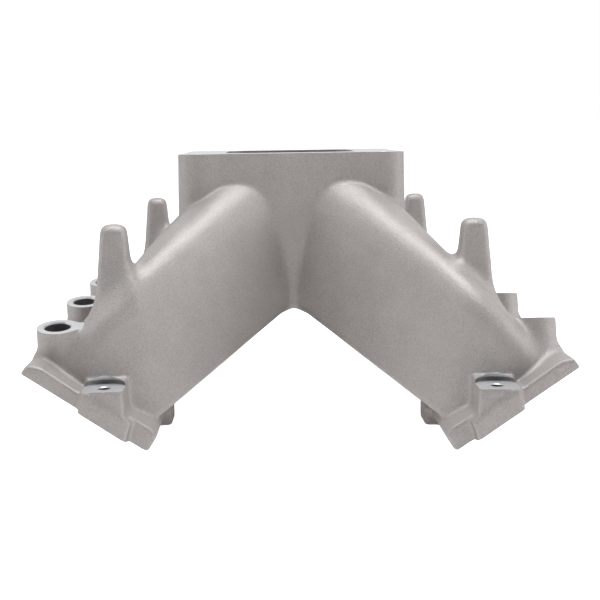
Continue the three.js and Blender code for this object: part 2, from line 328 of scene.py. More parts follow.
@dataclass(frozen=True)
class Runner:
    """A runner of the right bank, from the chamber to its port window."""

    index: int
    wall: float = 5.0
    half_wide: float = 20.0
    start_x: float = 20.0
    start_drop: float = 24.0
    panel_lean: float = 0.247
    ridge_start: float = 17.0
    ridge_slope: float = 0.667
    bend_x: float = 121.5
    bend_drop: float = 86.3
    foot_x: float = 156.0
    foot_drop: float = 129.0
    spread: float = 12.0
    inlet_y: float = 32.0
    inlet_drop: float = 41.5
    inlet_x: float = 74.0
    near_run: tuple[float, float] = (2.2, 112.8)  # how far past its port the near side aims, over what length
    far_start: tuple[float, float] = (78.5, 77.8)  # where the far side leaves the chamber
    tilt_at: tuple[float, ...] = (25, 50, 70, 82, 107, 125)
    tilts: tuple[float, ...] = (0.45, 0.42, 0.30, 0.27, 0.13, 0.1)
    outer_tilt: float = 0.1
    roof_edge: float = 19.0
    near_edge: float = 18.0
    knee: float = 14.0
    edge: float = 12.0
    port: tuple[float, float, float, float] = (10.0, 72.0, 15.0, 7.0)  # low and high edge, half width, corner
    port_deep: float = 11.0

    @property
    def end(self) -> int:
        """Which way an end runner goes along the engine, or 0 for a middle one."""
        return {0: -1, PORTS - 1: 1}.get(self.index, 0)

    def box(self) -> tuple[Point, Point]:
        """The part of the space that the runner and its fillets need."""
        y = port_y(self.index)
        if self.end:
            low, high = sorted((self.end * 30.0, y + self.end * 48.0))
            return (-12.0, low, -8.0), (178.0, high, 184.0)
        inlet = math.copysign(self.inlet_y, y)
        low, high = min(y, inlet) - 48.0, max(y, inlet) + 48.0
        return (40.0, low, -8.0), (178.0, high, 160.0)

    def outer_roof(self, x: Array, across: Array, drop: Array, bend_drop: float) -> Array:
        """Distance above the steep part of the roof that comes down to the port flange."""
        slope = (self.foot_drop - bend_drop) / (self.foot_x - self.bend_x)
        level = bend_drop + slope * (x - self.bend_x) - self.outer_tilt * across
        return (level - drop) / math.hypot(1, slope)

    def body(self, x: Array, y: Array, z: Array) -> Array:
        """The runner's outside."""
        shape = self.end_body(x, y, z) if self.end else self.middle_body(x, y, z)
        shape = soft_max(shape, PLENUM.floor(x, z) + 0 * y, 4)
        return np.maximum(shape, -FACE.n(x, z) - STOCK)

    def end_body(self, x: Array, y: Array, z: Array) -> Array:
        """The outside of a runner that leaves the chamber on the skew, past the block's corner."""
        drop, along = HEIGHT - z, self.end * y
        port_along = self.end * port_y(self.index)
        limit = port_along + self.half_wide
        start = PLENUM.half_y + 0.5
        past, run = self.near_run
        slope = (limit + past - start) / run
        panel = start + slope * (x - self.start_x + self.panel_lean * (drop - self.start_drop))
        near = (along - panel) / hypot(1.0, slope, slope * self.panel_lean)
        near = soft_max(near, along - limit, self.near_edge)
        ridge = self.ridge_start + self.ridge_slope * (x - self.start_x)
        ridge_panel = start + slope * (x - self.start_x + self.panel_lean * (ridge - self.start_drop))
        across = np.minimum(ridge_panel, limit) - along
        tilt = np.interp(x, self.tilt_at, self.tilts)
        roof = (ridge - tilt * across - drop) / 1.26
        roof = soft_max(roof, self.outer_roof(x, limit - along, drop, self.bend_drop), self.knee)
        far_x, far_y = self.far_start
        far_end = port_along - self.half_wide - self.spread
        far_line = far_y + (far_end - far_y) / (self.bend_x - far_x) * (x - far_x)
        flare = self.spread * np.clip((x - self.bend_x) / 30 + (drop - 110) / 60, 0, 1)
        far = soft_min(far_line - along, (far_end + flare - along) * 1.4, self.knee) * 0.62
        return soft_max(soft_max(near, roof, self.roof_edge), far, self.edge)

    def middle_body(self, x: Array, y: Array, z: Array) -> Array:
        """The outside of a runner that leaves through the chamber's side wall."""
        drop, port = HEIGHT - z, port_y(self.index)
        inlet = math.copysign(self.inlet_y, port)
        share = np.clip((x - self.inlet_x) / (self.bend_x - self.inlet_x), 0, 1)
        share = share * share * (3 - 2 * share)
        side = np.abs(y - inlet - (port - inlet) * share) - self.half_wide
        bend_drop = self.bend_drop - 6
        slope = (bend_drop - self.inlet_drop) / (self.bend_x - PLENUM.half_x)
        roof = (self.inlet_drop + slope * (x - PLENUM.half_x) - drop) / math.hypot(1, slope)
        roof = soft_max(roof, self.outer_roof(x, 0 * x, drop, bend_drop), self.knee)
        shape = soft_max(side * 0.93 + 0 * z, roof + 0 * y, self.edge)
        return soft_max(shape, self.inlet_x - 10 - x + 0 * y, 4)

    def hollow(self, x: Array, y: Array, z: Array) -> Array:
        """The passage, from the chamber to the port window."""
        passage = self.body(x, y, z) + self.wall
        low, high, half_wide, corner = self.port
        s, n = FACE.s(x, z), FACE.n(x, z)
        passage = np.maximum(passage, self.port_deep - 3 - n)
        half_high = (high - low) / 2
        window = round_rectangle(s - low - half_high, y - port_y(self.index), half_high, half_wide, corner)
        window = np.maximum(window, n - self.port_deep)
        return soft_min(passage, window, 3)


@dataclass(frozen=True)
class PortFlange:
    """The sloping flange of the right bank, with ears at its end bolts and lugs over the valley."""

    top: tuple[tuple[float, ...], tuple[float, ...]] = (
        (0.0, 5.9, 19.2, 57.7, 84.5, 92.0),
        (12.0, 13.8, 13.6, 9.2, 10.0, 9.0),
    )  # how far up the face, and how thick the plate is there
    bevel: tuple[float, float, float] = (90.4, 7.2, 0.5)  # where the upper edge leans in, and its slope
    end_edge: float = 1.8
    edge: float = 2.0
    ear_thick: float = 12.0
    ear_inner: tuple[float, float, float] = (105.8, 165.6, 0.52)  # distance out, drop, and slope
    ear_outer: tuple[float, float, float] = (133.0, 141.7, 0.32)
    ear_overlap: float = 30.0
    lug: tuple[float, float, float, float] = (85.0, 101.0, 14.0, 13.0)  # inner, outer, height, half length
    lug_apart: float = 130.0

    def strip(self, x: Array, y: Array, z: Array) -> Array:
        """The long plate."""
        s, n = FACE.s(x, z), FACE.n(x, z)
        level = np.interp(s, *self.top).astype(np.float32)
        shape = soft_max((n - level) * 0.99, -s, 3)
        shape = soft_max(shape, s - FACE.wide, 4)
        up, level, slope = self.bevel
        shape = soft_max(shape, (n - level + slope * (s - up)) * 0.89, self.edge)
        shape = soft_max(shape, np.abs(y - BANK_SHIFT) - FACE.half_long, self.end_edge)
        return np.maximum(shape, -n - STOCK)

    def ears(self, x: Array, y: Array, z: Array) -> Array:
        """The plate's two longer parts under the end bolts."""
        n, drop = FACE.n(x, z), HEIGHT - z
        at, level, slope = self.ear_inner
        inner = (at + slope * (drop - level) - x) * 0.89
        at, level, slope = self.ear_outer
        outer = (x - at - slope * (drop - level)) * 0.95
        shape = soft_max(np.maximum(inner, outer) + 0 * y, n - self.ear_thick + 0 * y, self.edge)
        reach = np.abs(y - BANK_SHIFT) - (BOLTS.end_reach + BOLTS.half - 0.6)
        shape = soft_max(shape, reach + 0 * x, self.edge)
        shape = np.maximum(shape, FACE.half_long - self.ear_overlap - np.abs(y - BANK_SHIFT))
        return np.maximum(shape, -n - STOCK)

    def lugs(self, x: Array, y: Array, z: Array) -> Array:
        """The three lugs under the valley edge, between the ports."""
        inner, outer, high, half = self.lug
        middle = (inner + outer) / 2
        step = np.clip(np.round((y - BANK_SHIFT) / self.lug_apart), -1, 1)
        nearest = step * self.lug_apart + BANK_SHIFT
        across = round_rectangle(x - middle, y - nearest, (outer - inner) / 2, half, 3)
        shape = soft_max(across + 0 * z, z - high + 0 * x, 3)
        return soft_max(shape, 0.3 - z + 0 * x, self.edge)


@dataclass(frozen=True)
class BoltBosses:
    """Upright bosses with spot-faced pads, at and between the ports of the right bank."""

    x: float = 121.6
    pad_drop: float = 141.5
    half: float = 13.5
    draft: float = 0.04
    hole: float = 4.0
    spot: float = 14.2
    end_reach: float = 199.5
    half_across: float = 12.6
    inward: float = 0.2
    front_cut: float = 1.8
    back_grow: tuple[float, float] = (6.0, -1.0)  # at the ends of the flange, and between them
    rim: tuple[float, float, float] = (3.0, 7.0, 0.36)  # skin rising behind an end hole: from, over, slope
    stock: float = 0.9
    mill: tuple[float, float] = (14.0, 13.2)  # how far the pad's cutter goes inwards and outwards

    def rows(self) -> list[float]:
        """Where the bolts lie along the engine, from the front."""
        between = [BANK_SHIFT + (i - 1) * BORE_PITCH for i in range(PORTS - 1)]
        return [BANK_SHIFT - self.end_reach, *between, BANK_SHIFT + self.end_reach]

    def body(self, row: float) -> Callable[..., Array]:
        """The boss at one bolt."""

        def distance(x: Array, y: Array, z: Array) -> Array:
            """Distance to a drafted square column with soft edges."""
            grow = self.draft * (HEIGHT - z - self.pad_drop)
            at_end = abs(row - BANK_SHIFT) > BORE_PITCH * 1.5
            front, back = self.half - self.front_cut, self.half + self.back_grow[0 if at_end else 1]
            outward = (y - row) * (1 if row > BANK_SHIFT else -1)
            start, over, slope = self.rim
            rim = np.clip(-start - outward, 0, over) * slope if at_end else 0
            reach = np.maximum(outward - front, -outward - back) - grow
            across = soft_max(np.abs(x - self.x + self.inward) - self.half_across - grow, reach, 3)
            shape = soft_max(across, z - (HEIGHT - self.pad_drop) - self.stock - rim, 1.5)
            return np.maximum(shape, -FACE.n(x, z) - STOCK)

        return distance


BOLTS = BoltBosses()


@dataclass(frozen=True)
class InjectorSeat:
    """A round boss over a port of the right bank, bored for the nose of an injector."""

    index: int
    x: float = 153.4
    drop: float = 106.4
    ahead: float = 6.3
    tilt: float = math.radians(11)
    radius: float = 13.25
    bore: float = 8.3
    mouth: float = 9.0
    deep: float = 27.0

    @property
    def top(self) -> Vector:
        """The middle of the seat's face."""
        return Vector((self.x, port_y(self.index) + self.ahead, HEIGHT - self.drop))

    @property
    def up(self) -> Vector:
        """The bore's direction, out of the metal."""
        return Vector((0, math.sin(self.tilt), math.cos(self.tilt)))

    def body(self, x: Array, y: Array, z: Array) -> Array:
        """A slightly drafted round boss."""
        rise = (y - self.top.y) * self.up.y + (z - self.top.z) * self.up.z
        side = (y - self.top.y) * self.up.z - (z - self.top.z) * self.up.y
        round_ = hypot(x - self.x + 0 * side, side) - self.radius + 0.03 * rise
        return np.maximum(np.maximum(round_, rise - STOCK), -FACE.n(x, z) + 2)


@dataclass(frozen=True)
class RailPosts:
    """The tapered posts that carry the fuel rail on the right bank."""

    x: float = 117.3
    drop: float = 42.4
    rows: tuple[float, float] = (-148.0, 152.5)
    half: float = 8.0
    taper: float = 0.086
    foot_drop: float = 96.0
    screw_drop: float = 53.0
    screw: float = 2.6

    def body(self, row: float) -> Callable[..., Array]:
        """The post at one row."""

        def distance(x: Array, y: Array, z: Array) -> Array:
            """Distance to a square post with round edges and a soft top."""
            grow = self.taper * (HEIGHT - z - self.drop)
            across = soft_max(np.abs(x - self.x) - self.half - grow, np.abs(y - row) - self.half - grow, 6)
            shape = soft_max(across, z - (HEIGHT - self.drop) + 0 * x, 6)
            return np.maximum(shape, HEIGHT - self.foot_drop - z)

        return distance


POSTS = RailPosts()


class Casting:
    """The whole casting as a field, outside and passages together."""

    def __init__(self) -> None:
        """Sets up the parts."""
        self.runners = [Runner(i) for i in range(PORTS)]
        self.seats = [InjectorSeat(i) for i in range(PORTS)]
        self.flange = PortFlange()
        self.field = Field(*GRID)

    def pour(self) -> Field:
        """Works out the field.

        Returns:
            The finished field, ready to be skinned.
        """
        metal = self.field
        for runner in self.runners:
            metal.put(*runner.box(), runner.body, 10)
        flange = self.flange
        metal.put((75, -225, -8), (178, 225, 75), flange.strip, 3.5)
        metal.put((95, -225, -8), (150, 225, 75), flange.ears, 3)
        metal.put((70, -165, -3), (115, 150, 30), flange.lugs, 3)
        for seat in self.seats:
            y = seat.top.y
            metal.put((128, y - 32, 20), (178, y + 32, 90), seat.body, 7)
        for row in BOLTS.rows():
            metal.put((95, row - 32, -8), (150, row + 32, 60), BOLTS.body(row), 3)
        for row in POSTS.rows:
            metal.put((95, row - 24, 80), (142, row + 24, 150), POSTS.body(row), 9)
        metal.with_half_turn(6)
        metal.put((-178, -226, -8), (178, 226, 190), PLENUM.body, 3)
        air = Field(*GRID)
        for runner in self.runners:
            air.put(*runner.box(), runner.hollow, 4)
        air.with_half_turn(4)
        air.put((-90, -90, 0), (90, 90, 190), PLENUM.hollow, 8)
        metal.take(air, 1.5)
        metal.values = np.maximum(metal.values, 0.2 - metal.axes[2])
        return metal


# ---------- meshes ----------


def link(mesh: bpy.types.Mesh, name: str) -> bpy.types.Object:
    """Puts a mesh in the scene as an object of the name given."""
    result = bpy.data.objects.new(name, mesh)
    bpy.context.scene.collection.objects.link(result)
    return result


def grid_mesh(name: str, points: Array, quads: Array) -> bpy.types.Object:
    """Makes an object from many faces of four points.

    Args:
        name: The object's name.
        points: Places in millimetres, one row a point.
        quads: Point numbers, one row a face.

    Returns:
        The object, in metres.
    """
    mesh = bpy.data.meshes.new(name)
    count, size = quads.shape
    mesh.vertices.add(len(points))
    mesh.vertices.foreach_set("co", (points * MM).astype(np.float32).ravel())
    mesh.loops.add(count * size)
    mesh.loops.foreach_set("vertex_index", quads.astype(np.int32).ravel())
    mesh.polygons.add(count)
    mesh.polygons.foreach_set("loop_start", np.arange(0, count * size, size, dtype=np.int32))
    mesh.update(calc_edges=True)
    return link(mesh, name)


class Cut(Enum):
    """Slots of a section's faces: cast skin, milled faces, parting faces and the walls of holes."""

    SKIN = 0
    MACHINED = 1
    PARTING = 2
    DRILLED = 3


def tool_from_hull(name: str, points: Sequence[Point], cut: Cut) -> bpy.types.Object:
    """A convex tool round some points in millimetres."""
    mesh = bpy.data.meshes.new(name)
    bm = bmesh.new()
    for point in points:
        bm.verts.new(Vector(point) * MM)
    bmesh.ops.convex_hull(bm, input=bm.verts)
    bmesh.ops.recalc_face_normals(bm, faces=bm.faces)
    for face in bm.faces:
        face.material_index = cut.value
    bm.to_mesh(mesh)
    bm.free()
    return link(mesh, name)


def box_points(low: Point, high: Point) -> list[Point]:
    """The eight corners of a box."""
    return [(x, y, z) for x in (low[0], high[0]) for y in (low[1], high[1]) for z in (low[2], high[2])]


def bank_points(s: tuple[float, float], y: tuple[float, float], n: tuple[float, float]) -> list[Point]:
    """The eight corners of a box in the mating face's own directions."""
    return [tuple(FACE.point(a, b, c)) for a in s for b in y for c in n]


def boolean(target: bpy.types.Object, tool: bpy.types.Object, operation: str) -> bpy.types.Object:
    """Cuts, keeps or joins with a tool and applies it to the mesh.

    Args:
        target: The object that changes.
        tool: The closed tool, whose faces bring their own slot.
        operation: DIFFERENCE, INTERSECT or UNION.

    Returns:
        The target.
    """
    for thing in (target, tool):
        while len(thing.data.materials) < len(Cut):
            thing.data.materials.append(None)
    modifier = target.modifiers.new("tool", "BOOLEAN")
    modifier.operation = operation
    modifier.solver = "MANIFOLD"
    modifier.material_mode = "INDEX"
    modifier.object = tool
    graph = bpy.context.evaluated_depsgraph_get()
    result = bpy.data.meshes.new_from_object(target.evaluated_get(graph))
    target.modifiers.remove(modifier)
    old = target.data
    target.data = result
    bpy.data.meshes.remove(old)
    return target


def kept(source: bpy.types.Object, tool: bpy.types.Object, name: str) -> bpy.types.Object:
    """A new object that holds only what of the source lies inside the tool."""
    return boolean(link(source.data.copy(), name), tool, "INTERSECT")


def drop_object(thing: bpy.types.Object) -> None:
    """Removes an object and its mesh."""
    mesh = thing.data
    bpy.data.objects.remove(thing)
    bpy.data.meshes.remove(mesh)


def joined(name: str, things: Sequence[bpy.types.Object]) -> bpy.types.Object:
    """One object of several that don't touch; the several are removed."""
    bm = bmesh.new()
    for thing in things:
        bm.from_mesh(thing.data)
        drop_object(thing)
    mesh = bpy.data.meshes.new(name)
    bm.to_mesh(mesh)
    bm.free()
    return link(mesh, name)


# ---------- nodes ----------


def node(
    tree: bpy.types.NodeTree, kind: str, inputs: dict | None = None, **settings: object
) -> bpy.types.Node:
    """Adds a node with its settings, and fills or links its inputs.

    Args:
        tree: The tree that takes the node.
        kind: The node's type.
        inputs: A socket to link or a value to set, for each input by name or number.
        settings: Values of the node's own properties.

    Returns:
        The node.
    """
    made = tree.nodes.new(kind)
    for key, value in settings.items():
        setattr(made, key, value)
    for key, value in (inputs or {}).items():
        socket = made.inputs[key]
        if isinstance(value, Socket):
            tree.links.new(value, socket)
        else:
            socket.default_value = value
    return made


class TurnedTools:
    """Drills, taps and spot-facers: a turned profile set down at every hole of its kind by Geometry Nodes."""

    def __init__(self, finish: bpy.types.Material) -> None:
        """Builds the tree once, for tools that leave the finish given."""
        self.finish = finish
        tree = bpy.data.node_groups.new("turned_tools", "GeometryNodeTree")
        face = tree.interface
        face.new_socket("Geometry", in_out="INPUT", socket_type="NodeSocketGeometry")
        self.sockets = {
            name: face.new_socket(name, in_out="INPUT", socket_type=kind).identifier
            for name, kind in (
                ("Places", "NodeSocketObject"),
                ("Sides", "NodeSocketInt"),
                ("Finish", "NodeSocketMaterial"),
            )
        }
        face.new_socket("Geometry", in_out="OUTPUT", socket_type="NodeSocketGeometry")
        given = node(tree, "NodeGroupInput").outputs
        reach = node(tree, "GeometryNodeInputNamedAttribute", {"Name": "reach"}, data_type="FLOAT")
        axis = node(tree, "GeometryNodeInputNamedAttribute", {"Name": "axis"}, data_type="FLOAT_VECTOR")
        spine = node(tree, "GeometryNodeMeshToCurve", {"Mesh": given["Geometry"]})
        ring = node(tree, "GeometryNodeCurvePrimitiveCircle", {"Resolution": given["Sides"], "Radius": 1.0})
        inputs = {"Curve": spine.outputs[0], "Profile Curve": ring.outputs["Curve"], "Fill Caps": True}
        turned = node(tree, "GeometryNodeCurveToMesh", {**inputs, "Scale": reach.outputs[0]})
        places = node(tree, "GeometryNodeObjectInfo", {"Object": given["Places"]})
        turn = node(tree, "FunctionNodeAlignRotationToVector", {"Vector": axis.outputs[0]}, axis="Z")
        inputs = {"Points": places.outputs["Geometry"], "Instance": turned.outputs[0]}
        tools = node(tree, "GeometryNodeInstanceOnPoints", {**inputs, "Rotation": turn.outputs[0]})
        real = node(tree, "GeometryNodeRealizeInstances", {"Geometry": tools.outputs[0]})
        inputs = {"Geometry": real.outputs[0], "Material": given["Finish"]}
        dressed = node(tree, "GeometryNodeSetMaterial", inputs)
        node(tree, "NodeGroupOutput", {0: dressed.outputs[0]})
        self.tree = tree

    def make(
        self,
        name: str,
        profile: Sequence[tuple[float, float]],
        holes: Sequence[tuple[Vector, Vector]],
        sides: int = 48,
    ) -> bpy.types.Object:
        """Sets the tool down at every hole.

        Args:
            name: The tool's name.
            profile: Height over the hole's mouth and radius, from the top down.
            holes: The middle of each mouth and the direction out of the metal.
            sides: How many sides the round has.

        Returns:
            One object with every tool in it.
        """
        spine = bpy.data.meshes.new(name)
        levels = [(0, 0, height * MM) for height, _ in profile]
        spine.from_pydata(levels, [(i, i + 1) for i in range(len(levels) - 1)], [])
        radii = [radius * MM for _, radius in profile]
        spine.attributes.new("reach", "FLOAT", "POINT").data.foreach_set("value", radii)
        dots = bpy.data.meshes.new(name + "_places")
        dots.from_pydata([tuple(place * MM) for place, _ in holes], [], [])
        flat = np.array([tuple(way) for _, way in holes], np.float32).ravel()
        dots.attributes.new("axis", "FLOAT_VECTOR", "POINT").data.foreach_set("vector", flat)
        places, tool = link(dots, name + "_places"), link(spine, name)
        modifier = tool.modifiers.new("turned", "NODES")
        modifier.node_group = self.tree
        modifier[self.sockets["Places"]] = places
        modifier[self.sockets["Sides"]] = sides
        modifier[self.sockets["Finish"]] = self.finish
        graph = bpy.context.evaluated_depsgraph_get()
        mesh = bpy.data.meshes.new_from_object(tool.evaluated_get(graph))
        tool.modifiers.remove(modifier)
        drop_object(places)
        drop_object(tool)
        mesh.materials.clear()
        result = link(mesh, name)
        self.outward(result)
        for face in mesh.polygons:
            wall = abs(face.normal.dot(holes[0][1])) < 0.5
            face.material_index = (Cut.DRILLED if wall else Cut.MACHINED).value
        return result

    @staticmethod
    def outward(thing: bpy.types.Object) -> None:
        """Turns every face outwards."""
        bm = bmesh.new()
        bm.from_mesh(thing.data)
        bmesh.ops.remove_doubles(bm, verts=bm.verts, dist=1e-7)
        bmesh.ops.recalc_face_normals(bm, faces=bm.faces)
        bm.to_mesh(thing.data)
        bm.free()


def thread(root: float, crest: float, pitch: float, deep: float) -> list[tuple[float, float]]:
    """The profile of a tapped hole: a countersink, then a groove at every pitch.

    Args:
        root: Radius of the drilled hole.
        crest: Radius at the bottom of the grooves.
        pitch: From groove to groove.
        deep: How far the hole goes down.

    Returns:
        Heights and radii from the top down.
    """
    profile = [(4.0, crest + 0.5), (0.0, crest + 0.5), (-0.9, root)]
    level = -0.9
    while level - pitch > -deep:
        profile += [(level - pitch * 0.15, root), (level - pitch * 0.5, crest), (level - pitch * 0.85, root)]
        level -= pitch
    return [*profile, (-deep, root), (-deep - root * 0.5, 0.3)]


# ---------- machining and parting ----------


class Machining:
    """Faces, spot-faces, bores and tapped holes, cut with exact tools after casting."""

    def __init__(self, casting: Casting, finish: bpy.types.Material) -> None:
        """Keeps the casting's parts at hand, and sets up the turned tools."""
        self.casting = casting
        self.tools = TurnedTools(finish)

    def throttle_side(self, metal: bpy.types.Object) -> None:
        """Mills the throttle face and taps its four stud holes."""
        top = box_points((-95, -95, HEIGHT), (95, 95, HEIGHT + 20))
        self.cut(metal, tool_from_hull("face_mill", top, Cut.MACHINED))
        holes = [
            (Vector((x * PLENUM.stud_x, y * PLENUM.stud_y, HEIGHT)), Vector((0, 0, 1)))
            for x in (-1, 1)
            for y in (-1, 1)
        ]
        self.cut(metal, self.tools.make("stud_tap", thread(3.4, 4.0, 1.25, 20), holes))

    def bank_side(self, metal: bpy.types.Object) -> None:
        """Machines everything on the right bank."""
        mill = bank_points((-80, 180), (-LAST_PLACE, LAST_PLACE), (-25, 0))
        self.cut(metal, tool_from_hull("port_mill", mill, Cut.MACHINED))
        pad, rows = HEIGHT - BOLTS.pad_drop, BOLTS.rows()
        inwards, outwards = BOLTS.mill
        reaches = [(rows[0] - 20, rows[0] + 4, 6), (rows[-1] - 4, rows[-1] + 20, 6)]
        reaches += [(row - 17, row + 17, 3) for row in rows[1:-1]]
        for low_y, high_y, high in reaches:
            box = box_points((BOLTS.x - inwards, low_y, pad), (BOLTS.x + outwards, high_y, pad + high))
            self.cut(metal, tool_from_hull("pad_mill", box, Cut.MACHINED))
        spot, hole, chamfer = BOLTS.spot, BOLTS.hole, 0.6
        profile = [(9, 9.5), (2.4, spot), (0, spot), (0, hole + chamfer), (-chamfer, hole), (-70, hole)]
        pads = [(Vector((BOLTS.x, row, pad)), Vector((0, 0, 1))) for row in rows]
        self.cut(metal, self.tools.make("spot_facer", profile, pads))
        seats = [(seat.top, seat.up) for seat in self.casting.seats]
        seat = self.casting.seats[0]
        rim = seat.radius + 4
        profile = [(9, rim), (0, rim), (0, seat.mouth), (-0.9, seat.bore), (-seat.deep, seat.bore)]
        self.cut(metal, self.tools.make("seat_borer", profile, seats, 64))
        screw = Vector((POSTS.x - POSTS.half - 0.6, POSTS.rows[0], HEIGHT - POSTS.screw_drop))
        profile = [(5, 2.9), (0, 2.9), (-0.5, POSTS.screw), (-11, POSTS.screw), (-12, 0.3)]
        self.cut(metal, self.tools.make("rail_tap", profile, [(screw, Vector((-1, 0, 0)))], 32))

    @staticmethod
    def cut(metal: bpy.types.Object, tool: bpy.types.Object) -> None:
        """Cuts with a tool, then puts the tool away."""
        boolean(metal, tool, "DIFFERENCE")
        drop_object(tool)


class Parting:
    """Parts the machined casting along flat planes into its named sections."""

    FLANGE_LOW = HEIGHT - PLENUM.flange_thick
    CHAMBER = (82.0, 79.8)  # half width and half length
    BLOCK = (83.0, 86.5, 32.0)  # the same round the stud columns, and how far down
    OUTSIDE = 185.0  # past the bank's widest place
    SKEWS = ((-112.0, -0.77), (108.0, 0.75))  # where an end runner parts from its neighbour, and the slope

    def __init__(self) -> None:
        """Builds the tools that the middle and the bank share."""
        low, (half_x, half_y), (wide_x, wide_y, wide_drop) = self.FLANGE_LOW, self.CHAMBER, self.BLOCK
        chamber = box_points((-half_x, -half_y, -15), (half_x, half_y, low))
        block = box_points((-wide_x, -wide_y, HEIGHT - wide_drop), (wide_x, wide_y, low))
        chamber, block = (tool_from_hull("chamber", points, Cut.PARTING) for points in (chamber, block))
        self.chamber = boolean(chamber, block, "UNION")
        self.top = tool_from_hull("top", box_points((-95, -95, low), (95, 95, HEIGHT + 20)), Cut.PARTING)

    def middle(self, metal: bpy.types.Object) -> dict[str, bpy.types.Object]:
        """The throttle flange and the plenum chamber."""
        return {
            "throttle_flange": kept(metal, self.top, "middle"),
            "plenum_chamber": kept(metal, self.chamber, "middle"),
        }

    def bank(self, metal: bpy.types.Object, casting: Casting) -> dict[str, bpy.types.Object]:
        """Every section of the right bank, by the name it has without its side.

        Args:
            metal: The machined metal with X above zero.
            casting: The parts' sizes.

        Returns:
            Sections by name, with a number counted from the front.
        """
        behind = box_points((-40, -LAST_PLACE, -20), (0, LAST_PLACE, 200))
        behind = tool_from_hull("behind", behind, Cut.PARTING)
        for tool in (self.chamber, self.top, behind):
            boolean(metal, tool, "DIFFERENCE")
        small = self.small_regions(casting)
        sections = {name: kept(metal, tool, name) for name, tool in small.items()}
        boolean(metal, joined("small", list(small.values())), "DIFFERENCE")
        slab = bank_points((-80, 180), (-LAST_PLACE, LAST_PLACE), (-25, FACE.thick))
        slab = tool_from_hull("slab", slab, Cut.PARTING)
        sections["port_flange"] = kept(metal, slab, "port_flange")
        boolean(metal, slab, "DIFFERENCE")
        for index, tool in enumerate(self.runner_regions()):
            sections[f"runner_{index + 1}"] = kept(metal, tool, f"runner_{index + 1}")
        drop_object(metal)
        return sections

    def small_regions(self, casting: Casting) -> dict[str, bpy.types.Object]:
        """The space of each boss and post of the right bank."""
        regions = {}
        for i, row in enumerate(BOLTS.rows()):
            half = BOLTS.half + 1.2
            low, high = (BOLTS.x - half - 0.3, row - half), (BOLTS.x + half + 1.6, row + half)
            slope = math.tan(FACE.angle)
            lift = FACE.thick / math.cos(FACE.angle)
            corners = [(x, y) for x in (low[0], high[0]) for y in (low[1], high[1])]
            base = [(x, y, (x - FACE.foot_x) * slope + lift) for x, y in corners]
            lid = [(x, y, HEIGHT - BOLTS.pad_drop + 1.5) for x, y in corners]
            regions[f"bolt_boss_{i + 1}"] = tool_from_hull("region", base + lid, Cut.PARTING)
        for i, seat in enumerate(casting.seats):
            ring = []
            for step in range(40):
                turn = math.tau * step / 40
                side = Vector((math.cos(turn), math.sin(turn) * seat.up.z, -math.sin(turn) * seat.up.y))
                for reach in (1.0, -18.0):
                    ring.append(tuple(seat.top + side * (seat.radius + 1.6) + seat.up * reach))
            regions[f"injector_boss_{i + 1}"] = tool_from_hull("region", ring, Cut.PARTING)
        for name, row in zip(("front", "rear"), POSTS.rows):
            half = 13.5
            base = [
                (x, y, HEIGHT - 64.5 - 0.86 * (x - 105))
                for x in (POSTS.x - half, POSTS.x + half)
                for y in (row - half, row + half)
            ]
            lid = [(x, y, HEIGHT - 30) for x, y, _ in base]
            regions[f"rail_post_{name}"] = tool_from_hull("region", base + lid, Cut.PARTING)
        return regions

    @staticmethod
    def runner_regions() -> list[bpy.types.Object]:
        """The space of each runner, parted midway and along the end runners' skew."""
        outside = Parting.OUTSIDE

        def line(at: float, slope: float) -> tuple[float, float]:
            """Where a parting line crosses the middle plane and the outermost one."""
            return at - slope * BOLTS.x, at + slope * (outside - BOLTS.x)

        front, rear = (line(*skew) for skew in Parting.SKEWS)
        lines = [(-LAST_PLACE,) * 2, front, (BANK_SHIFT,) * 2, rear, (LAST_PLACE,) * 2]
        tools = []
        for (low_in, low_out), (high_in, high_out) in zip(lines, lines[1:]):
            flat = [(0.0, low_in), (outside, low_out), (outside, high_out), (0.0, high_in)]
            points = [(x, y, z) for x, y in flat for z in (-20.0, 200.0)]
            tools.append(tool_from_hull("runner_space", points, Cut.PARTING))
        return tools


# ---------- finishes ----------


def linear(colour: str) -> tuple[float, float, float, float]:
    """An sRGB hex colour as linear red, green, blue and alpha."""
    parts = (int(colour[i : i + 2], 16) / 255 for i in (1, 3, 5))
    return (*((p / 12.92 if p <= 0.04045 else ((p + 0.055) / 1.055) ** 2.4) for p in parts), 1.0)


def per_metre(millimetres: float) -> float:
    """The scale of a pattern whose features are so many millimetres apart."""
    return 1000 / millimetres


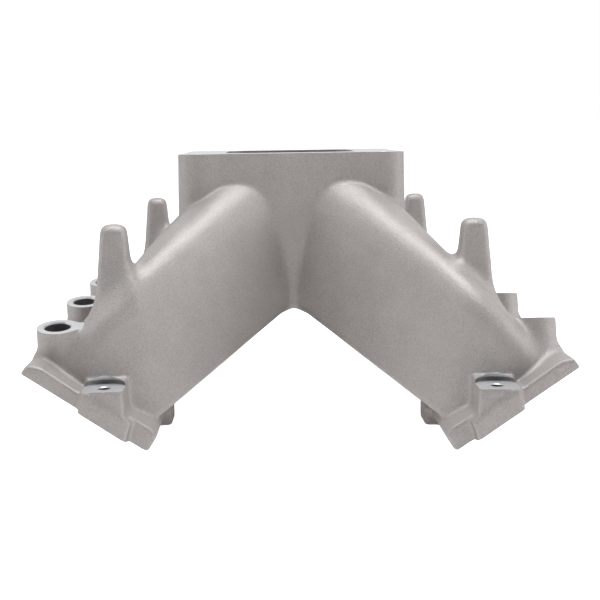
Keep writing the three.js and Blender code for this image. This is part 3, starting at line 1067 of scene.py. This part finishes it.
@dataclass(frozen=True)
class BareAluminium:
    """Bare aluminium with fine marks in its surface: what every finish of the casting shares."""

    name: str
    light: str
    dark: str
    marks: float
    roughness: float
    uneven: float
    metallic: float
    bump: float
    bump_height: float

    def pattern(self, tree: bpy.types.NodeTree, place: Socket) -> tuple[Socket, Socket]:
        """Adds the finish's own nodes.

        Args:
            tree: The material's tree.
            place: Where on the object the pattern is read.

        Returns:
            How light the metal is, from 0 to 1, and the height of its marks.
        """
        raise NotImplementedError

    def cloud(self, tree: bpy.types.NodeTree, place: Socket, size: float) -> Socket:
        """Soft clouds of tone, so many millimetres apart."""
        inputs = {"Vector": place, "Scale": per_metre(size), "Detail": 3.0}
        return node(tree, "ShaderNodeTexNoise", inputs).outputs["Fac"]

    def material(self) -> bpy.types.Material:
        """Builds the material."""
        made = bpy.data.materials.new(self.name)
        made.use_nodes = True
        tree = made.node_tree
        tree.nodes.clear()
        share, marks = self.pattern(tree, node(tree, "ShaderNodeTexCoord").outputs["Object"])
        inputs = {0: share, 6: linear(self.dark), 7: linear(self.light)}
        tint = node(tree, "ShaderNodeMix", inputs, data_type="RGBA")
        low, high = self.roughness - self.uneven, self.roughness + self.uneven
        rough = node(tree, "ShaderNodeMapRange", {"Value": marks, "To Min": low, "To Max": high})
        inputs = {"Height": marks, "Strength": self.bump, "Distance": self.bump_height * MM}
        bump = node(tree, "ShaderNodeBump", inputs)
        inputs = {
            "Base Color": tint.outputs[2],
            "Metallic": self.metallic,
            "Roughness": rough.outputs[0],
            "Normal": bump.outputs[0],
        }
        shader = node(tree, "ShaderNodeBsdfPrincipled", inputs)
        node(tree, "ShaderNodeOutputMaterial", {"Surface": shader.outputs[0]})
        return made


@dataclass(frozen=True)
class BlastedCasting(BareAluminium):
    """A356 aluminium, sand cast and bead blasted: satin, warm grey, with a tight even grain."""

    name: str = "blasted_cast_aluminium"
    light: str = "#bdb8b6"
    dark: str = "#9f9a98"
    marks: float = 0.9  # bead marks are about 0.3 mm; drawn coarser so that they show
    mottle: float = 22.0
    roughness: float = 0.56
    uneven: float = 0.07
    metallic: float = 0.55
    bump: float = 1.0
    bump_height: float = 0.3

    def pattern(self, tree: bpy.types.NodeTree, place: Socket) -> tuple[Socket, Socket]:
        """Adds a fine grain over slow mottling."""
        inputs = {"Vector": place, "Scale": per_metre(self.marks), "Detail": 3.0, "Roughness": 0.65}
        grain = node(tree, "ShaderNodeTexNoise", inputs).outputs["Fac"]
        inputs = {"Vector": place, "Scale": per_metre(self.mottle), "Detail": 4.0, "Roughness": 0.6}
        mottle = node(tree, "ShaderNodeTexNoise", inputs).outputs["Fac"]
        share = node(tree, "ShaderNodeMath", {0: mottle, 1: 0.25, 2: grain}, operation="MULTIPLY_ADD")
        inputs = {"Value": share.outputs[0], "From Min": 0.42, "From Max": 0.83}
        return node(tree, "ShaderNodeMapRange", inputs).outputs[0], grain


@dataclass(frozen=True)
class MilledFace(BareAluminium):
    """The same aluminium, face milled: brighter and smoother, with fine arcs left by the cutter."""

    name: str = "milled_aluminium"
    light: str = "#dadbde"
    dark: str = "#c9cacd"
    marks: float = 3.158  # the cutter's feed is about 0.3 mm; drawn coarser so that it shows
    roughness: float = 0.4
    uneven: float = 0.05
    metallic: float = 0.6
    bump: float = 0.15
    bump_height: float = 0.02

    def pattern(self, tree: bpy.types.NodeTree, place: Socket) -> tuple[Socket, Socket]:
        """Adds arcs about a far centre, and soft clouds."""
        swing = node(tree, "ShaderNodeMapping", {"Vector": place, "Location": (0.21, 0.02, 0.0)})
        inputs = {"Vector": swing.outputs[0], "Scale": per_metre(self.marks) * STRIPES}
        inputs |= {"Distortion": 0.4, "Detail": 1.0}
        arcs = node(tree, "ShaderNodeTexWave", inputs, wave_type="RINGS", rings_direction="Z")
        return self.cloud(tree, place, 9.0), arcs.outputs["Fac"]


@dataclass(frozen=True)
class DrilledWall(BareAluminium):
    """The same aluminium, drilled or bored: duller than a milled face, with fine rings. Its colours are
    darker than the metal's own, as painted shade on the walls of holes.
    """

    name: str = "drilled_aluminium"
    # light and dark sit well below the metal's own colour: painted shade for the walls of holes
    light: str = "#8f8d8c"
    dark: str = "#737170"
    marks: float = 2.3686  # the drill's feed is about 0.2 mm; drawn coarser so that it shows
    roughness: float = 0.5
    uneven: float = 0.06
    metallic: float = 0.6
    bump: float = 0.2
    bump_height: float = 0.03

    def pattern(self, tree: bpy.types.NodeTree, place: Socket) -> tuple[Socket, Socket]:
        """Adds level rings, and soft clouds."""
        inputs = {"Vector": place, "Scale": per_metre(self.marks) * STRIPES}
        inputs |= {"Distortion": 0.3, "Detail": 1.0}
        rings = node(tree, "ShaderNodeTexWave", inputs, wave_type="BANDS", bands_direction="Z")
        return self.cloud(tree, place, 5.0), rings.outputs["Fac"]


class Dressing:
    """Gives each section its finishes and the shading of its skin, and hands it over."""

    def __init__(self, metal: Field) -> None:
        """Makes the finishes. A parting face is hidden, and takes the skin's."""
        self.metal = metal
        skin, milled, drilled = (finish().material() for finish in (BlastedCasting, MilledFace, DrilledWall))
        self.finishes = {Cut.SKIN: skin, Cut.MACHINED: milled, Cut.PARTING: skin, Cut.DRILLED: drilled}

    def shade(self, section: bpy.types.Object) -> None:
        """Shades the skin by the field's slope, and every cut face flat."""
        mesh = section.data
        for cut in Cut:
            mesh.materials[cut.value] = self.finishes[cut]
        count = len(mesh.polygons)
        mesh.polygons.foreach_set("use_smooth", np.ones(count, bool))
        slots, sizes = np.zeros(count, np.int32), np.zeros(count, np.int32)
        flat = np.zeros(count * 3, np.float32)
        corners = np.zeros(len(mesh.loops), np.int32)
        places = np.zeros(len(mesh.vertices) * 3, np.float32)
        mesh.polygons.foreach_get("material_index", slots)
        mesh.polygons.foreach_get("loop_total", sizes)
        mesh.polygons.foreach_get("normal", flat)
        mesh.loops.foreach_get("vertex_index", corners)
        mesh.vertices.foreach_get("co", places)
        slope = self.metal.slope(places.reshape(-1, 3).astype(np.float64) / MM)
        skin = np.repeat(slots == Cut.SKIN.value, sizes)
        flat = np.repeat(flat.reshape(-1, 3), sizes, axis=0)
        mesh.normals_split_custom_set(np.where(skin[:, None], slope[corners], flat).tolist())

    def hand_over(self, section: bpy.types.Object, cad_node: str) -> None:
        """Names a section and says which CAD node it stands for."""
        section.name = section.data.name = f"cast_{cad_node}"
        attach(section, "root")
        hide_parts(cad_node)
        log.info("%s: %d faces", section.name, len(section.data.polygons))


def half_turned(section: bpy.types.Object) -> bpy.types.Object:
    """A copy of a section, turned half a turn about the upright axis."""
    mesh = section.data.copy()
    mesh.transform(Matrix.Rotation(math.pi, 4, "Z"))
    return link(mesh, section.name)


def opposite(name: str) -> str:
    """The name that a section's half-turned copy takes: counted from the other end."""
    counts = {"runner": PORTS, "injector_boss": PORTS, "bolt_boss": PORTS + 1}
    stem, _, tail = name.rpartition("_")
    if stem in counts:
        return f"{stem}_left_{counts[stem] + 1 - int(tail)}"
    if stem == "rail_post":
        return f"rail_post_left_{'rear' if tail == 'front' else 'front'}"
    return f"{name}_left"


def right_name(name: str) -> str:
    """The CAD name of a section of the right bank."""
    stem, _, tail = name.rpartition("_")
    return f"{stem}_right_{tail}" if name != "port_flange" else "port_flange_right"


# ---------- studio ----------


@dataclass(frozen=True)
class Studio:
    """A white table in soft light from above and both sides, and the camera before the engine's front end."""

    lens: float = 68.25
    film: float = 36.0
    place: Point = (-18.41, -888.67, 195.82)
    yaw: float = 1.62
    pitch: float = 8.38
    roll: float = -0.85
    table: str = "#f4f3f2"
    table_half: float = 60.0  # metres, so that no view shows its edge
    bounce: float = 0.22
    room: float = 0.02
    sweep: float = 0.7

    def camera(self) -> None:
        """Sets the camera up."""
        data = bpy.data.cameras.new("camera")
        data.lens, data.sensor_width = self.lens, self.film
        camera = bpy.data.objects.new("camera", data)
        yaw, pitch, roll = (math.radians(v) for v in (self.yaw, self.pitch, self.roll))
        ahead = Vector((math.sin(yaw) * math.cos(pitch), math.cos(yaw) * math.cos(pitch), -math.sin(pitch)))
        level = Vector((math.cos(yaw), -math.sin(yaw), 0))
        up = level.cross(ahead)
        right = level * math.cos(roll) + up * math.sin(roll)
        up = up * math.cos(roll) - level * math.sin(roll)
        matrix = Matrix((right, up, -ahead)).transposed().to_4x4()
        matrix.translation = Vector(self.place) * MM
        camera.matrix_world = matrix
        bpy.context.scene.collection.objects.link(camera)
        bpy.context.scene.camera = camera

    def light(self, name: str, place: Point, size: float, power: float) -> None:
        """Hangs a soft light that points at the object."""
        data = bpy.data.lights.new(name, "AREA")
        data.shape, data.size, data.energy = "DISK", size, power
        lamp = bpy.data.objects.new(name, data)
        aim = (Vector((0, 0, 0.09)) - Vector(place)).to_track_quat("-Z", "Y")
        lamp.matrix_world = Matrix.Translation(place) @ aim.to_matrix().to_4x4()
        bpy.context.scene.collection.objects.link(lamp)

    def lay_table(self) -> None:
        """Lays the white table, which looks evenly lit and throws little light back."""
        mesh = bpy.data.meshes.new("table")
        far = self.table_half
        mesh.from_pydata([(-far, -far, 0), (far, -far, 0), (far, far, 0), (-far, far, 0)], [], [(0, 1, 2, 3)])
        table = link(mesh, "table")
        made = bpy.data.materials.new("white_table")
        made.use_nodes = True
        shader = made.node_tree.nodes["Principled BSDF"]
        shader.inputs["Base Color"].default_value = linear(self.table)
        shader.inputs["Roughness"].default_value = 0.9
        shader.inputs["Specular IOR Level"].default_value = 0.0
        shader.inputs["Emission Color"].default_value = (1, 1, 1, 1)
        tree = made.node_tree
        seen = node(tree, "ShaderNodeLightPath").outputs["Is Camera Ray"]
        glow = node(tree, "ShaderNodeMapRange", {"Value": seen, "To Min": self.bounce, "To Max": 1.0})
        tree.links.new(glow.outputs[0], shader.inputs["Emission Strength"])
        mesh.materials.append(made)

    def hang_sweep(self) -> None:
        """Hangs a white sweep behind the object, in a room that is dark on the camera's side."""
        world = bpy.data.worlds.new("studio")
        bpy.context.scene.world = world
        world.use_nodes = True
        tree = world.node_tree
        tree.nodes.clear()
        way = node(tree, "ShaderNodeTexCoord").outputs["Generated"]
        along = node(tree, "ShaderNodeSeparateXYZ", {0: way})
        inputs = {"Value": along.outputs["Y"], "From Min": -0.35, "From Max": 0.45}
        inputs |= {"To Min": self.room, "To Max": self.sweep}
        sweep = node(tree, "ShaderNodeMapRange", inputs)
        seen = node(tree, "ShaderNodeLightPath").outputs["Is Camera Ray"]
        inputs = {"Value": seen, "To Min": sweep.outputs[0], "To Max": 1.0}
        strength = node(tree, "ShaderNodeMapRange", inputs)
        back = node(tree, "ShaderNodeBackground", {"Color": (1, 1, 1, 1), "Strength": strength.outputs[0]})
        node(tree, "ShaderNodeOutputWorld", {"Surface": back.outputs[0]})

    def build(self) -> None:
        """Sets up table, world, lights and camera."""
        bpy.context.scene.view_settings.view_transform = "Standard"
        self.lay_table()
        self.hang_sweep()
        self.light("top", (0.0, -0.25, 1.5), 1.2, 22)
        self.light("left", (-1.4, -0.35, 0.6), 0.9, 4)
        self.light("right", (1.4, -0.35, 0.6), 0.9, 7)
        self.camera()


def main() -> None:
    """Builds the manifold section by section and sets the studio round it."""
    Studio().build()
    casting = Casting()
    metal = casting.pour()
    log.info("casting poured")
    dressing = Dressing(metal)
    machining, parting = Machining(casting, dressing.finishes[Cut.MACHINED]), Parting()
    middle = grid_mesh("middle", *metal.skin((-88, -88, -10), (88, 88, 200)))
    bank = grid_mesh("bank", *metal.skin((-10, -230, -10), (190, 230, 200)))
    machining.throttle_side(middle)
    machining.bank_side(bank)
    log.info("casting machined")
    for cad_node, section in parting.middle(middle).items():
        dressing.shade(section)
        dressing.hand_over(section, cad_node)
    drop_object(middle)
    for name, section in parting.bank(bank, casting).items():
        dressing.shade(section)
        turned = half_turned(section)
        dressing.hand_over(section, right_name(name))
        dressing.hand_over(turned, opposite(name))
    for thing in list(bpy.context.scene.collection.objects):
        if thing.type == "MESH" and "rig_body" not in thing and thing.name != "table":
            drop_object(thing)


if __name__ == "__main__":
    logging.basicConfig(level=logging.INFO, format="%(message)s")
    main()
